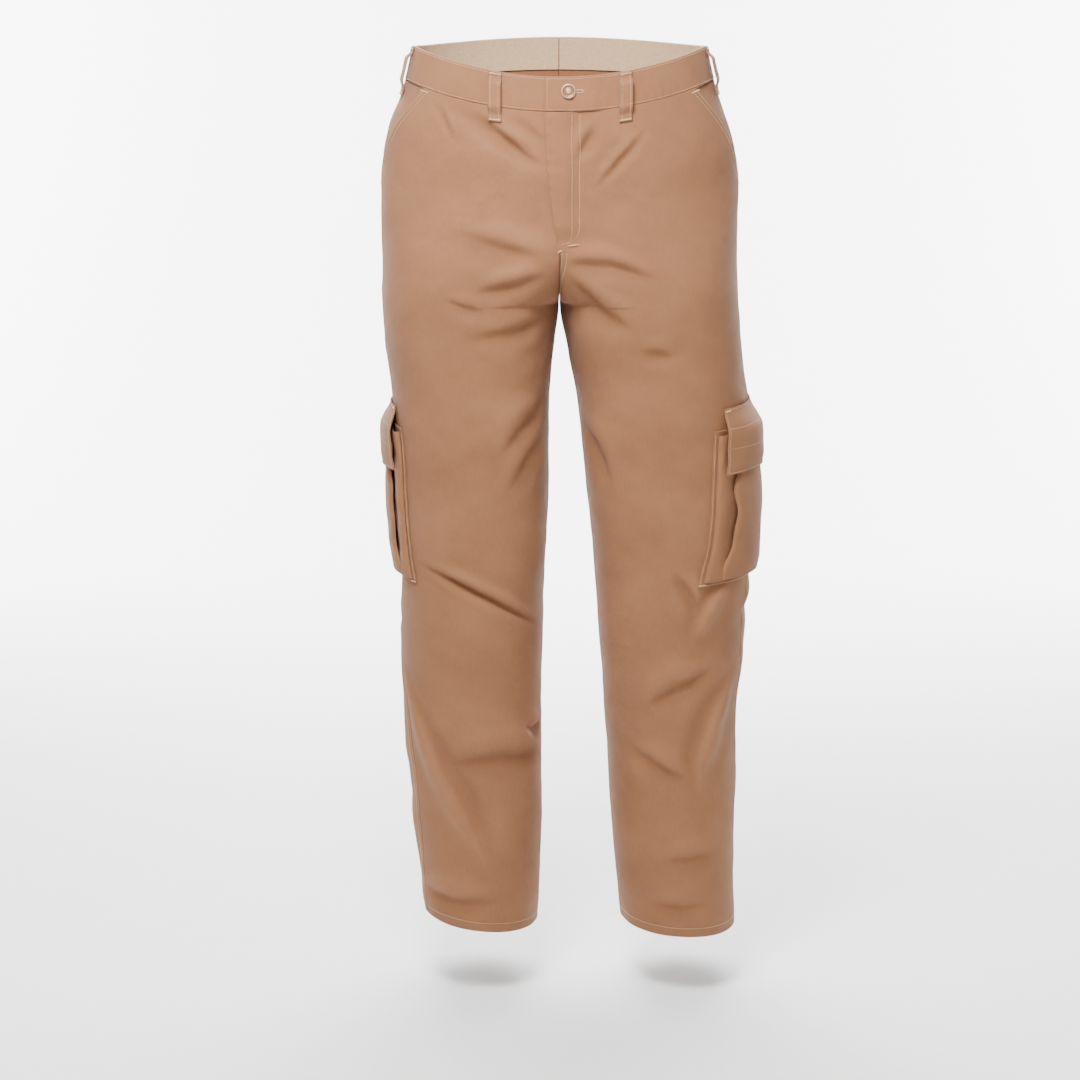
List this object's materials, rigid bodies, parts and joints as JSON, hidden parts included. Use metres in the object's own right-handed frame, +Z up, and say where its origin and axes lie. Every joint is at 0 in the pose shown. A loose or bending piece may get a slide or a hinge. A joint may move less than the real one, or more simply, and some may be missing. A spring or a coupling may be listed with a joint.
{
  "type": "cargo work trousers",
  "caption": "Straight-leg cargo work trousers in worn shape: button and zip fly, belt loops, slanted hand pockets, patch back pockets and flapped bellows pockets on the thighs.",
  "frame": {"origin": "centre of the waist opening, level with the waistband's top edge at the sides", "axes": "+Z up, the front faces -Y, the wearer's left is +X"},
  "size_m": [0.4524, 0.2578, 1.0594],
  "materials": {
    "twill": "brushed cotton twill, tan",
    "pocketing": "plain-weave pocket lining, cream",
    "tape": "woven tape, tan",
    "hook_tape": "hook tape, tan",
    "brass": "satin brass",
    "button": "semi-gloss tan",
    "thread": "twisted sewing thread, cream"
  },
  "bodies": {
    "root": {"back_panel_left": "twill", "back_panel_right": "twill", "back_pocket_left": "twill", "back_pocket_right": "twill", "belt_loop_back_centre": "twill", "belt_loop_back_left": "twill", "belt_loop_back_right": "twill", "belt_loop_front_left": "twill", "belt_loop_front_right": "twill", "belt_loop_side_left": "twill", "belt_loop_side_right": "twill", "button_thread_shank": "thread", "cargo_bellows_left": "twill", "cargo_bellows_right": "twill", "cargo_loop_tape_left": "tape", "cargo_loop_tape_right": "tape", "cargo_pocket_left": "twill", "cargo_pocket_right": "twill", "fly_shield": "twill", "front_panel_left": "twill", "front_panel_right": "twill", "hand_pocket_bag_left": "pocketing", "hand_pocket_bag_right": "pocketing", "hand_pocket_facing_left": "twill", "hand_pocket_facing_right": "twill", "waist_button": "button", "waistband_left": "twill", "waistband_lining_left": "pocketing", "waistband_lining_right": "pocketing", "waistband_right": "twill", "zip_bottom_stop": "brass", "zip_tape_left": "tape", "zip_tape_right": "tape", "zip_teeth_left": "brass", "zip_teeth_right": "brass"},
    "fly_flap": {"fly_overlap_left": "twill", "fly_facing_left": "pocketing", "waistband_end_left": "twill", "waistband_end_lining": "pocketing", "waist_buttonhole": "twill"},
    "slider": {"zip_slider": "brass", "zip_pull_tab": "brass"},
    "flap_left": {"cargo_flap_left": "twill", "cargo_hook_tape_left": "hook_tape"},
    "flap_right": {"cargo_flap_right": "twill", "cargo_hook_tape_right": "hook_tape"}
  },
  "joints": [
    {"name": "fly_overlap_fold", "type": "hinge", "parent": "root", "child": "fly_flap", "pos_m": [0.0016, -0.12095, -0.20929], "axis": [0.1611, 0.0688, 0.9845], "range_deg": [0, 110], "deforming": ["waist_buttonhole"]},
    {"name": "zip_slide", "type": "slide", "parent": "root", "child": "slider", "axis": [0, -0.0591, -0.9983], "range_m": [0, 0.1], "deforming": ["zip_teeth_left", "zip_teeth_right"]},
    {"name": "cargo_flap_left_lift", "type": "hinge", "parent": "root", "child": "flap_left", "pos_m": [0.21896, -0.01461, -0.40387], "axis": [-0.1445, -0.9876, -0.0613], "range_deg": [0, 100]},
    {"name": "cargo_flap_right_lift", "type": "hinge", "parent": "root", "child": "flap_right", "pos_m": [-0.1956, 0.02725, -0.40403], "axis": [0.1284, 0.9899, 0.0608], "range_deg": [0, 100]}
  ]
}
